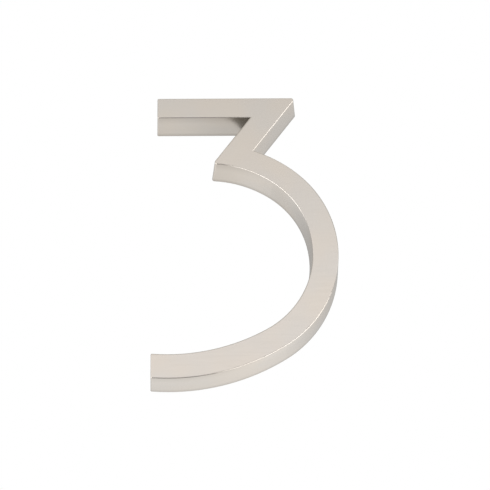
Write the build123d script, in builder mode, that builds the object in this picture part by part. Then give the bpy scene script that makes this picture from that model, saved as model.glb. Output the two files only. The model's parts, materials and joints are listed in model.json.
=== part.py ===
from build123d import *
from math import atan2, cos, degrees, radians, sin, sqrt
import os

# A wall-mounted numeral three, die cast in one piece: a flat front face, sides that lean in
# towards it by the draft, and a hollow back with bosses and ribs.
# +X is to the reader's right, +Z is up, the front face looks along -Y, and the back lies at
# Y 0. The origin is on the back, midway between the two tapped holes.
# Outline sizes are taken at the back, where the casting is widest. Outline points are measured
# from the upright centre line of the bowl, and down from the top edge.
height = 127.0
depth = 19.0
draft_angle = 2.0

# Flat top bar
bar_thickness = 10.4
bar_left = 29.9
bar_right = 31.9

# Diagonal that runs down to the left from the bar's right end
diagonal_angle = 52.8
diagonal_width = 11.6

# Outer edge of the bowl: shoulder, round and foot are three arcs that run into each other
shoulder_radius = 56.8
shoulder_end = 48.0
round_radius = 48.2
foot_start = -58.3
foot_radius = 93.8
foot_left = 32.2

# Inner edge of the bowl, with three arcs of its own
round_stroke = 12.2
foot_stroke = 11.8
inner_shoulder_radius = 48.4
inner_shoulder_end = 55.5
inner_round_radius = 37.9
inner_foot_start = -60.8
inner_foot_radius = 83.6

# Rounded edges
tip_radius = 1.0
corner_radius = 0.6
face_edge_radius = 0.4

# Hollow back
wall = 2.2
face_wall = 2.5
core_bevel = 0.6

# Bosses with tapped blind holes for M4 studs
boss_radius = 4.2
tap_radius = 1.65
tap_depth = 12.0

# Cross ribs, which stop short of the back
rib_width = 1.4
rib_recess = 6.0
bar_rib_reach = 14.0
round_rib_count = 3
round_rib_angle = 70.0
foot_rib_angle = 17.0


def point_at(centre, radius, angle):
    return centre + Vector(cos(radians(angle)), sin(radians(angle))) * radius


def angle_of(point, centre):
    return degrees(atan2(point.Y - centre.Y, point.X - centre.X))


def run_on_centre(centre, radius, next_radius, angle):
    """Centre of the arc that runs on from another at this angle."""
    return point_at(centre, radius - next_radius, angle)


def level_below(centre, radius, x):
    """Level of an arc under its centre, at a given x."""
    return centre.Y - sqrt(radius**2 - (x - centre.X) ** 2)


def round_centre(x, radius, foot_radius, foot_start, lowest):
    """Centre of a round whose foot comes down to the lowest level."""
    return Vector(x, lowest + foot_radius + (foot_radius - radius) * sin(radians(foot_start)))


# The diagonal's two edges are lines at a distance along this normal
diagonal_run = point_at(Vector(0, 0), 1, diagonal_angle)
diagonal_normal = point_at(Vector(0, 0), 1, diagonal_angle + 90)
right_edge = Vector(bar_right, 0).dot(diagonal_normal)
left_edge = right_edge + diagonal_width


def diagonal_at_level(edge, level):
    return Vector((edge - level * diagonal_normal.Y) / diagonal_normal.X, level)


def diagonal_on_arc(edge, centre, radius):
    """Upper point where an edge of the diagonal meets an arc."""
    away = centre.dot(diagonal_normal) - edge
    along = centre.dot(diagonal_run) + sqrt(radius**2 - away**2)
    return diagonal_normal * edge + diagonal_run * along


# Arc centres of the bowl
outer_round = round_centre(0, round_radius, foot_radius, foot_start, -height)
outer_shoulder = run_on_centre(outer_round, round_radius, shoulder_radius, shoulder_end)
outer_foot = run_on_centre(outer_round, round_radius, foot_radius, foot_start)

inner_round = round_centre(
    round_radius - round_stroke - inner_round_radius,
    inner_round_radius,
    inner_foot_radius,
    inner_foot_start,
    foot_stroke - height,
)
inner_shoulder = run_on_centre(
    inner_round, inner_round_radius, inner_shoulder_radius, inner_shoulder_end
)
inner_foot = run_on_centre(
    inner_round, inner_round_radius, inner_foot_radius, inner_foot_start
)

# The two tapped holes lie on the bowl's centre line, in the middle of the bar and of the foot
upper_hole = Vector(0, -bar_thickness / 2)
foot_bottom = level_below(outer_foot, foot_radius, 0)
foot_top = level_below(inner_foot, inner_foot_radius, 0)
lower_hole = Vector(0, (foot_bottom + foot_top) / 2)
origin_level = (upper_hole.Y + lower_hole.Y) / 2

# The same back plane, looking into the casting and out of it
back = Plane(origin=(0, 0, -origin_level), x_dir=(1, 0, 0), z_dir=(0, -1, 0))
wall_side = Plane(origin=back.origin, x_dir=(-1, 0, 0), z_dir=(0, 1, 0))


def corners(inset):
    """Corner points of the outline moved inwards by the inset."""
    foot_end = inset - foot_left
    return {
        "bar_top": Vector(inset - bar_left, -inset),
        "bar_low": Vector(inset - bar_left, inset - bar_thickness),
        "inner": diagonal_at_level(left_edge - inset, inset - bar_thickness),
        "tip": diagonal_on_arc(
            left_edge - inset, inner_shoulder, inner_shoulder_radius + inset
        ),
        "foot_inner": Vector(
            foot_end, level_below(inner_foot, inner_foot_radius + inset, foot_end)
        ),
        "foot_outer": Vector(foot_end, level_below(outer_foot, foot_radius - inset, foot_end)),
        "notch": diagonal_on_arc(right_edge + inset, outer_shoulder, shoulder_radius - inset),
        "top_right": diagonal_at_level(right_edge + inset, -inset),
    }


def draw_arc(centre, radius, start, end):
    CenterArc(centre, radius, start, end - start)


def outline(inset=0.0):
    """Closed outline of the numeral, moved inwards by the inset."""
    at = corners(inset)
    with BuildLine() as edge:
        Polyline(
            at["tip"], at["inner"], at["bar_low"], at["bar_top"], at["top_right"], at["notch"]
        )
        draw_arc(
            outer_shoulder,
            shoulder_radius - inset,
            angle_of(at["notch"], outer_shoulder),
            shoulder_end,
        )
        draw_arc(outer_round, round_radius - inset, shoulder_end, foot_start)
        draw_arc(
            outer_foot,
            foot_radius - inset,
            foot_start,
            angle_of(at["foot_outer"], outer_foot),
        )
        Line(at["foot_outer"], at["foot_inner"])
        draw_arc(
            inner_foot,
            inner_foot_radius + inset,
            angle_of(at["foot_inner"], inner_foot),
            inner_foot_start,
        )
        draw_arc(
            inner_round, inner_round_radius + inset, inner_foot_start, inner_shoulder_end
        )
        draw_arc(
            inner_shoulder,
            inner_shoulder_radius + inset,
            inner_shoulder_end,
            angle_of(at["tip"], inner_shoulder),
        )
    return edge.edges()


def edges_at(block, *names):
    """Edges that run from the named corners of the outline towards the front."""
    rising = block.edges().filter_by(lambda edge: abs(edge.tangent_at(0.5).Y) > 0.9)
    places = [back.from_local_coords(corners(0)[name]) for name in names]
    return [rising.sort_by_distance(place)[0] for place in places]


def sides(block):
    return block.faces().filter_by(lambda face: abs(face.normal_at().Y) < 0.5)


# Space inside the casting, open at the back
with BuildPart() as hollow:
    with BuildSketch(back):
        make_face(outline(wall))
    extrude(amount=depth - face_wall)
    draft(sides(hollow), back, draft_angle)
    chamfer(hollow.faces().sort_by(Axis.Y)[0].edges(), core_bevel)

# Cross ribs between the walls, upright to the stroke that they stiffen
with BuildPart() as ribs:
    with BuildSketch(back.offset(rib_recess)):
        with Locations((-bar_rib_reach, upper_hole.Y), (bar_rib_reach, upper_hole.Y)):
            Rectangle(rib_width, bar_thickness)
        with Locations(outer_round):
            with PolarLocations(
                round_radius - round_stroke / 2,
                round_rib_count,
                -round_rib_angle / 2,
                round_rib_angle,
                endpoint=True,
            ):
                Rectangle(round_stroke, rib_width)
        with Locations(outer_foot):
            with PolarLocations(
                foot_radius - foot_stroke / 2,
                2,
                angle_of(lower_hole, outer_foot) - foot_rib_angle / 2,
                foot_rib_angle,
                endpoint=True,
            ):
                Rectangle(foot_stroke, rib_width)
    extrude(amount=depth - face_wall - rib_recess)
    add(hollow.part, mode=Mode.INTERSECT)

with BuildPart() as numeral:
    with BuildSketch(back):
        make_face(outline())
    extrude(amount=depth)
    draft(sides(numeral), back, draft_angle)
    add(hollow.part, mode=Mode.SUBTRACT)
    add(ribs.part)
    with BuildSketch(back):
        with Locations(upper_hole, lower_hole):
            Circle(boss_radius)
    extrude(amount=depth - face_wall)
    with Locations(wall_side):
        with Locations(upper_hole, lower_hole):
            Hole(tap_radius, tap_depth)
    fillet(edges_at(numeral, "tip", "top_right"), tip_radius)
    fillet(edges_at(numeral, "bar_top", "bar_low", "foot_inner", "foot_outer"), corner_radius)
    fillet(numeral.faces().sort_by(Axis.Y)[0].edges(), face_edge_radius)

numeral.part.label = "numeral_three"
os.makedirs("parts", exist_ok=True)
export_step(numeral.part, "parts/numeral_three.step")
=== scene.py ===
import bpy, bmesh, json
from math import cos, pi, radians, sin
from mathutils import Matrix, Vector


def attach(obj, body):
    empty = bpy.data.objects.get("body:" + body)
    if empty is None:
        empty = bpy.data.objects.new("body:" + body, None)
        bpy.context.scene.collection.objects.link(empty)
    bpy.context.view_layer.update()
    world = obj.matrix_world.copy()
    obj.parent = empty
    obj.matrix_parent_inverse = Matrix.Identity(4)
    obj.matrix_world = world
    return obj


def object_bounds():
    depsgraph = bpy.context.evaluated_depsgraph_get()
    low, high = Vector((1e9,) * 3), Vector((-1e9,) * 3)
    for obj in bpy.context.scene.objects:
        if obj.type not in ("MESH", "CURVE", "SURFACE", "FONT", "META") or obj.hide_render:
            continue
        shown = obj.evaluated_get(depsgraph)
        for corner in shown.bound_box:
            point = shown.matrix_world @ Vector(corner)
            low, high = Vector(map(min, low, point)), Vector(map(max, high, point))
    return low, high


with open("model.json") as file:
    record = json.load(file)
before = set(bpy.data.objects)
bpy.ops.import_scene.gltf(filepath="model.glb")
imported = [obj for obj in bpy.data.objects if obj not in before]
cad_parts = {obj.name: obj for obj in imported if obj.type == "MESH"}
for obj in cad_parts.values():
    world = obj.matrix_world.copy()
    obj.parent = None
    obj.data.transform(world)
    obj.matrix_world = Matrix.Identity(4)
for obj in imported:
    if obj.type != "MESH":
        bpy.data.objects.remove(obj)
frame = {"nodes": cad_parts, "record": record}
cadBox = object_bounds()  # the casting by itself
casting = frame["nodes"]["numeral_three"]
scene = bpy.context.scene
mm = 0.001
print("casting loaded")


# One shader value. Sums written with it become Math nodes
class Value:
    def __init__(self, bench, socket):
        self.bench = bench
        self.socket = socket

    def out(self, name):  # another output of the same node
        return Value(self.bench, self.socket.node.outputs[name])

    def math(self, operation, first, second):
        return self.bench.node("Math", {"operation": operation}, {0: first, 1: second})

    def __add__(self, other):
        return self.math("ADD", self, other)

    def __radd__(self, other):
        return self.math("ADD", other, self)

    def __sub__(self, other):
        return self.math("SUBTRACT", self, other)

    def __rsub__(self, other):
        return self.math("SUBTRACT", other, self)

    def __mul__(self, other):
        return self.math("MULTIPLY", self, other)

    def __rmul__(self, other):
        return self.math("MULTIPLY", other, self)

    def __abs__(self):
        return self.math("ABSOLUTE", self, 0)


# One node tree, and the one method that adds nodes to it
class Bench:
    def __init__(self, owner):
        owner.use_nodes = True
        self.tree = owner.node_tree
        self.tree.nodes.clear()

    def node(self, kind, settings={}, inputs={}, output=0):
        node = self.tree.nodes.new("ShaderNode" + kind)
        for name, setting in settings.items():
            if name == "stops":
                fillRamp(node.color_ramp, setting)
            else:
                setattr(node, name, setting)
        for name, value in inputs.items():
            if isinstance(value, Value):
                self.tree.links.new(value.socket, node.inputs[name])
            else:
                node.inputs[name].default_value = value
        return Value(self, node.outputs[output]) if node.outputs else None

    def placeInMm(self):
        place = self.node("TexCoord", {}, {}, "Object")
        return self.node("VectorMath", {"operation": "SCALE"}, {0: place, "Scale": 1 / mm})

    def step(self, value, low, high):  # 0 below low, 1 above high, soft between
        return self.node("MapRange", {"interpolation_type": "SMOOTHSTEP"}, {
            "Value": value, "From Min": low, "From Max": high})

    def slope(self, value, low, high):  # the same in a straight line
        return self.node("MapRange", {}, {"Value": value, "From Min": low, "From Max": high})

    def noise(self, place, scale, detail):
        scaled = self.node("Mapping", {}, {"Vector": place, "Scale": scale})
        return self.node("TexNoise", {}, {"Vector": scaled, "Scale": 1.0, "Detail": detail})

    def mix(self, factor, first, second, blend="MIX"):
        return self.node("Mix", {"data_type": "RGBA", "blend_type": blend}, {
            0: factor, 6: first, 7: second}, 2)

    def along(self, place, direction):
        return self.node("VectorMath", {"operation": "DOT_PRODUCT"}, {0: place, 1: direction}, "Value")


def fillRamp(ramp, stops):
    while len(ramp.elements) < len(stops):
        ramp.elements.new(1)
    for element, (position, level) in zip(ramp.elements, stops):
        element.position = position
        element.color = (level, level, level, 1)


# Camera: below the numeral and a little off square, as the photo was taken
shot = {
    "lens": 150.4,
    "sensor": 36,
    "tilt": 19.36,  # degrees, looking up
    "turn": -0.617,
    "roll": -0.554,
    "distance": 0.86515,
    "aim": (0.00805, -0.019, -0.00663),
}


def placeCamera():
    lens = bpy.data.cameras.new("camera")
    lens.lens = shot["lens"]
    lens.sensor_width = shot["sensor"]
    camera = bpy.data.objects.new("camera", lens)
    scene.collection.objects.link(camera)
    turn = (Matrix.Rotation(radians(shot["turn"]), 4, "Z")
            @ Matrix.Rotation(radians(90 + shot["tilt"]), 4, "X")
            @ Matrix.Rotation(radians(shot["roll"]), 4, "Z"))
    away = turn @ Vector((0, 0, shot["distance"]))
    camera.matrix_world = Matrix.Translation(Vector(shot["aim"]) + away) @ turn
    scene.camera = camera
    print("camera placed")


placeCamera()

# Light that the metal mirrors, by height: 0 is straight down, 0.5 level, 1 straight up
studio = {
    "front": [(0, 0.45), (0.25, 0.5), (0.375, 0.45), (0.5, 0.6), (0.575, 1.15),
              (0.65, 1.53), (0.685, 1.08), (0.725, 0.68), (0.825, 0.82), (1, 0.95)],
    "back": [(0, 0.5), (0.2, 0.7), (0.335, 1.19), (0.45, 0.83), (0.55, 0.68),
             (0.665, 0.52), (0.8, 0.5), (1, 0.7)],
    "lowTint": (1, 0.995, 1.012, 1),  # of the front light
    "highTint": (1.005, 1, 0.985, 1),
    "tintHeights": (0.63, 0.71),
    "backTint": (1.01, 1, 0.985, 1),
    "meet": 0.3,  # how far the front and the back light run into each other
    "right": (0.08, 0.5, 0.135),  # the back light grows towards the right, from and to, by this share
    "left": 0.12,  # and falls towards the left
    "softboxes": {  # place, aimed at, size, watts
        "softboxLeft": ((-0.75, -0.58, -0.62), (0, -0.58, 0), (1.3, 0.76), 10.8),
        "softboxRight": ((0.75, -0.58, -0.62), (0, -0.58, 0), (1.3, 0.76), 10.5),
        "softboxBack": ((-1.0, 1.48, 0.09), (0, 0, 0), (0.7, 0.7), 0.3),
    },
}


def lightStudio():
    world = bpy.data.worlds.new("paleStudio")
    scene.world = world
    bench = Bench(world)
    across = bench.node("SeparateXYZ", {}, {0: bench.node("TexCoord")})
    height = across.out("Z") * 0.5 + 0.5
    front = bench.node("ValToRGB", {"stops": studio["front"]}, {0: height})
    tint = bench.mix(bench.step(height, *studio["tintHeights"]), studio["lowTint"], studio["highTint"])
    front = bench.mix(1.0, front, tint, "MULTIPLY")
    back = bench.node("ValToRGB", {"stops": studio["back"]}, {0: height})
    back = bench.mix(1.0, back, studio["backTint"], "MULTIPLY")
    behind = bench.step(across.out("Y"), -studio["meet"], studio["meet"])
    low, high, share = studio["right"]
    rightwards = bench.step(across, low, high) * share
    leftwards = across.math("MINIMUM", across, 0) * studio["left"]
    strength = (rightwards + leftwards) * behind + 1.0
    lamp = bench.node("Background", {}, {0: bench.mix(behind, front, back), 1: strength})
    paper = bench.node("Background", {}, {0: (1, 1, 1, 1)})  # what the camera sees
    seen = bench.node("LightPath", {}, {}, "Is Camera Ray")
    both = bench.node("MixShader", {}, {0: seen, 1: lamp, 2: paper})
    bench.node("OutputWorld", {}, {"Surface": both})
    for name, (place, aim, size, watts) in studio["softboxes"].items():
        light = bpy.data.lights.new(name, "AREA")
        light.shape = "RECTANGLE"
        light.size, light.size_y = size
        light.energy = watts
        box = bpy.data.objects.new(name, light)
        scene.collection.objects.link(box)
        box.location = place
        box.rotation_euler = (box.location - Vector(aim)).to_track_quat("Z", "X").to_euler()
        box.visible_camera = False
    scene.view_settings.view_transform = "Standard"
    print("studio lit")


lightStudio()

floorPaint = {
    "level": -1.2,
    "width": 9.0,
    "corners": 96,
    "colour": (0.93, 0.92, 0.9, 1),
    "speckle": ((40, 40, 40), 3.0),  # scale and detail of the noise
    "roughness": 0.75,
    "speckledRoughness": 0.1,
}


def paleFloor():
    mesh = bpy.data.meshes.new("paleFloor")
    disc = bmesh.new()
    bmesh.ops.create_circle(
        disc, cap_ends=True, segments=floorPaint["corners"], radius=floorPaint["width"] / 2)
    disc.to_mesh(mesh)
    disc.free()
    floor = bpy.data.objects.new("paleFloor", mesh)
    scene.collection.objects.link(floor)
    floor.location.z = floorPaint["level"]
    floor.visible_glossy = False  # the metal mirrors the studio alone
    paint = bpy.data.materials.new("floorPaint")
    bench = Bench(paint)
    speckle = bench.noise(bench.node("TexCoord", {}, {}, "Object"), *floorPaint["speckle"])
    coat = bench.node("BsdfPrincipled", {}, {
        "Base Color": floorPaint["colour"],
        "Roughness": speckle * floorPaint["speckledRoughness"] + floorPaint["roughness"]})
    bench.node("OutputMaterial", {}, {"Surface": coat})
    mesh.materials.append(paint)
    print("floor laid")


paleFloor()

# Satin nickel plating. Lengths in mm. A noise has its scale per mm along x, y and z, and its detail
nickel = {
    "warm": (0.604, 0.553, 0.494, 1),
    "cool": (0.586, 0.549, 0.505, 1),
    "clouds": ((0.045, 0.045, 0.045), 2.0),
    "cloudEdges": (0.35, 0.65),
    "roughness": 0.25,
    "brushing": ((0.09, 2.2, 2.2), 3.0),  # long lines along x
    "brushedRoughness": 0.08,
    "grain": ((5, 5, 5), 4.0),
    "grainRoughness": 0.04,
    "grainHeight": 0.4,  # next to the brushed lines' height
    "bump": 0.12,
    "bumpHeight": 0.01,
    "edge": (0.4, 1.0),
    "edgePolish": 0.06,  # rounded edges are rubbed smoother
    "roll": (6.5, 0.05),  # how far back the buffing wheel rounds the sides over, and how steeply
    # painted shade: the sides darken towards their back edge, and more near the rim, standing in for the
    # shade next to the wall
    "backShade": (-13.0, 1.0, 0.04),  # from and to this depth, by this share
    "rimShade": (-3.5, 0.0, 0.24),
}

# The ground rim that meets the wall
rim = {
    "facing": (0.9, 0.98),
    "depth": (-0.4, -0.1),
    "grinding": ((0.25, 1.0, 8.0), 2.0),
    "groundRoughness": 0.2,
    "groundHeight": 2.0,
}

# The hollow, where the plating is thin over the cast skin
hollow = {
    "reach": 14.0,  # walls nearer than this close a place in
    "open": (0.2, 0.55),
    "samples": 8,
    "tone": (0.68, 0.665, 0.64, 1),
    "metallic": 0.25,
    "roughness": 0.2,
    "skin": ((0.9, 0.9, 0.9), 2.0),
    "skinHeight": 6.0,
}

# Painted shade in the sharp corner under the bar, where bar and diagonal shade each other
corner = {
    "slope": 52.8,  # of the diagonal, in degrees
    "diagonalSide": (21.8, 22.4),
    "underBar": (51.6, 52.4),
    "upLeft": (1.1, 1.35),
    "diagonalReach": (30.0, 38.0, 0.66),  # along the diagonal from and to, by this share
    "barReach": (26.0, 44.0, 0.16),
    # colour that the painted corner shade mixes towards
    "tone": (0.03, 0.02, 0, 1),
}


# How far a place is in the corner, and how much painted shade it gets there
def shadeCorner(bench, place, level, facing):
    slope = radians(corner["slope"])
    across = bench.along(place, (-sin(slope), 0, cos(slope)))
    upwards = bench.along(place, (cos(slope), 0, sin(slope)))
    inside = bench.step(across, *corner["diagonalSide"]) * (1.0 - bench.step(level, *corner["underBar"]))
    upLeft = bench.step(facing.out("Z") - facing, *corner["upLeft"])
    low, high, share = corner["diagonalReach"]
    diagonalShade = upLeft * bench.step(upwards, low, high) * share
    low, high, share = corner["barReach"]
    barShade = bench.step(upwards, low, high) * share
    return inside, inside * (diagonalShade + barShade)


# The buffing wheel rolls the sides over towards the front face
def rollSides(bench, normal, depth):
    front = cadBox[0][1] / mm
    reach, steepness = nickel["roll"]
    roll = (1.0 - bench.slope(depth, front, front + reach)) * -steepness
    rolled = bench.node("VectorMath", {"operation": "ADD"}, {
        0: normal, 1: bench.node("CombineXYZ", {}, {1: roll})})
    return bench.node("VectorMath", {"operation": "NORMALIZE"}, {0: rolled})


def satinNickel():
    plating = bpy.data.materials.new("satinNickel")
    bench = Bench(plating)
    place = bench.placeInMm()
    depth = bench.node("SeparateXYZ", {}, {0: place}, "Y")
    normal = bench.node("NewGeometry", {}, {}, "Normal")
    facing = bench.node("SeparateXYZ", {}, {0: normal})

    # brushed lines, a fine grain and clouds of a cooler tone
    lines = bench.noise(place, *nickel["brushing"])
    grain = bench.noise(place, *nickel["grain"])
    clouds = bench.step(bench.noise(place, *nickel["clouds"]), *nickel["cloudEdges"])
    tone = bench.mix(clouds, nickel["warm"], nickel["cool"])

    # the hollow, seen by how much the walls around a place close it in
    inCorner, cornerShade = shadeCorner(bench, place, depth.out("Z"), facing)
    around = bench.node("AmbientOcclusion", {"samples": hollow["samples"], "only_local": True}, {
        "Distance": hollow["reach"] * mm}, "AO")
    recess = (1.0 - bench.step(around, *hollow["open"])) * (1.0 - inCorner)
    skin = bench.noise(place, *hollow["skin"])

    # the ground rim, the rounded edges, and painted shade that darkens the sides towards their back edge
    ground = bench.step(facing.out("Y"), *rim["facing"]) * bench.step(depth, *rim["depth"])
    grinding = bench.noise(place, *rim["grinding"])
    frontwards = abs(facing.out("Y"))
    halfway = frontwards * (1.0 - frontwards) * 4.0  # 1 where a face is turned halfway to the front
    edge = bench.step(halfway, *nickel["edge"])
    low, high, share = nickel["backShade"]
    paintedBackShade = bench.step(depth, low, high) * share
    low, high, share = nickel["rimShade"]
    paintedBackShade = paintedBackShade + bench.step(depth, low, high) * (1.0 - ground) * share

    tone = bench.mix(recess, tone, hollow["tone"])
    # painted shade: the sides are mixed towards black near their back edge
    tone = bench.mix(paintedBackShade, tone, (0, 0, 0, 1))
    # painted shade in the corner under the bar
    tone = bench.mix(cornerShade, tone, corner["tone"])
    gloss = ((lines - 0.5) * nickel["brushedRoughness"] * (1.0 - ground)
             + (grinding - 0.5) * rim["groundRoughness"] * ground
             + (grain - 0.5) * nickel["grainRoughness"]
             - edge * nickel["edgePolish"] + recess * hollow["roughness"] + nickel["roughness"])
    metallic = 1.0 - recess * (1 - hollow["metallic"])
    height = (lines * (1.0 - recess) * (1.0 - ground) + grinding * ground * rim["groundHeight"]
              + grain * (nickel["grainHeight"] + recess) + skin * recess * hollow["skinHeight"])
    bump = bench.node("Bump", {}, {
        "Strength": nickel["bump"], "Distance": nickel["bumpHeight"] * mm,
        "Height": height, "Normal": rollSides(bench, normal, depth)})
    surface = bench.node("BsdfPrincipled", {}, {
        "Base Color": tone, "Metallic": metallic, "Roughness": gloss, "Normal": bump})
    bench.node("OutputMaterial", {}, {"Surface": surface})
    return plating


casting.data.materials.clear()
casting.data.materials.append(satinNickel())
print("casting plated")

# Tapped holes, where the studs screw in: an M4 thread, in mm
thread = {
    "pitch": 0.7,
    "root": 1.66,  # just behind the wall of the hole
    "crest": 1.45,
    "start": 0.25,
    "length": 11.4,
    "foot": 0.6,  # width of the ridge at the wall
    "flat": 0.14,  # and at its crest
    "runOut": 0.75,  # turns over which it grows and dies away
    "steps": 32,  # in each turn
}
tapped = {
    "light": (0.66, 0.665, 0.67, 1),
    "dark": (0.52, 0.525, 0.53, 1),
    "marks": ((3, 0.6, 3), 3.0),  # the tap's marks: scale per mm, and detail
    "markEdges": (0.3, 0.7),
    "roughness": 0.3,
    "markedRoughness": 0.15,
}


def tappedZinc():
    zinc = bpy.data.materials.new("tappedZinc")
    bench = Bench(zinc)
    marks = bench.noise(bench.placeInMm(), *tapped["marks"])
    tone = bench.mix(bench.step(marks, *tapped["markEdges"]), tapped["dark"], tapped["light"])
    surface = bench.node("BsdfPrincipled", {}, {
        "Base Color": tone, "Metallic": 1.0,
        "Roughness": (marks - 0.5) * tapped["markedRoughness"] + tapped["roughness"]})
    bench.node("OutputMaterial", {}, {"Surface": surface})
    return zinc


def tappedThread(name, hole, zinc):
    mesh = bpy.data.meshes.new(name)
    ridge = bmesh.new()
    turns = thread["length"] / thread["pitch"]
    count = int(turns * thread["steps"])
    last = None
    for i in range(count + 1):
        turn = i / thread["steps"]
        left = (count - i) / thread["steps"]
        rise = min(1, turn / thread["runOut"], left / thread["runOut"])
        middle = -thread["start"] - turn * thread["pitch"] - thread["foot"] / 2
        crest = thread["root"] - rise * (thread["root"] - thread["crest"])
        section = []
        for radius, width in ((thread["root"], thread["foot"]), (crest, thread["flat"]),
                              (crest, -thread["flat"]), (thread["root"], -thread["foot"])):
            section.append(ridge.verts.new((
                hole.x + radius * mm * cos(2 * pi * turn),
                (middle + width / 2) * mm,
                hole.z + radius * mm * sin(2 * pi * turn))))
        if last:
            for j in range(3):
                face = ridge.faces.new((last[j], last[j + 1], section[j + 1], section[j]))
                face.smooth = True
        last = section
    bmesh.ops.recalc_face_normals(ridge, faces=ridge.faces)
    ridge.to_mesh(mesh)
    ridge.free()
    mesh.materials.append(zinc)
    piece = bpy.data.objects.new(name, mesh)
    scene.collection.objects.link(piece)
    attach(piece, "root")


zinc = tappedZinc()
for mount in frame["record"]["mounts"]:
    if mount["name"] == "stud_holes":
        apart = mount["dims"]["spacing_y_mm"] * mm
        tappedThread("upperThread", Vector((0, 0, apart / 2)), zinc)
        tappedThread("lowerThread", Vector((0, 0, -apart / 2)), zinc)
print("threads cut")
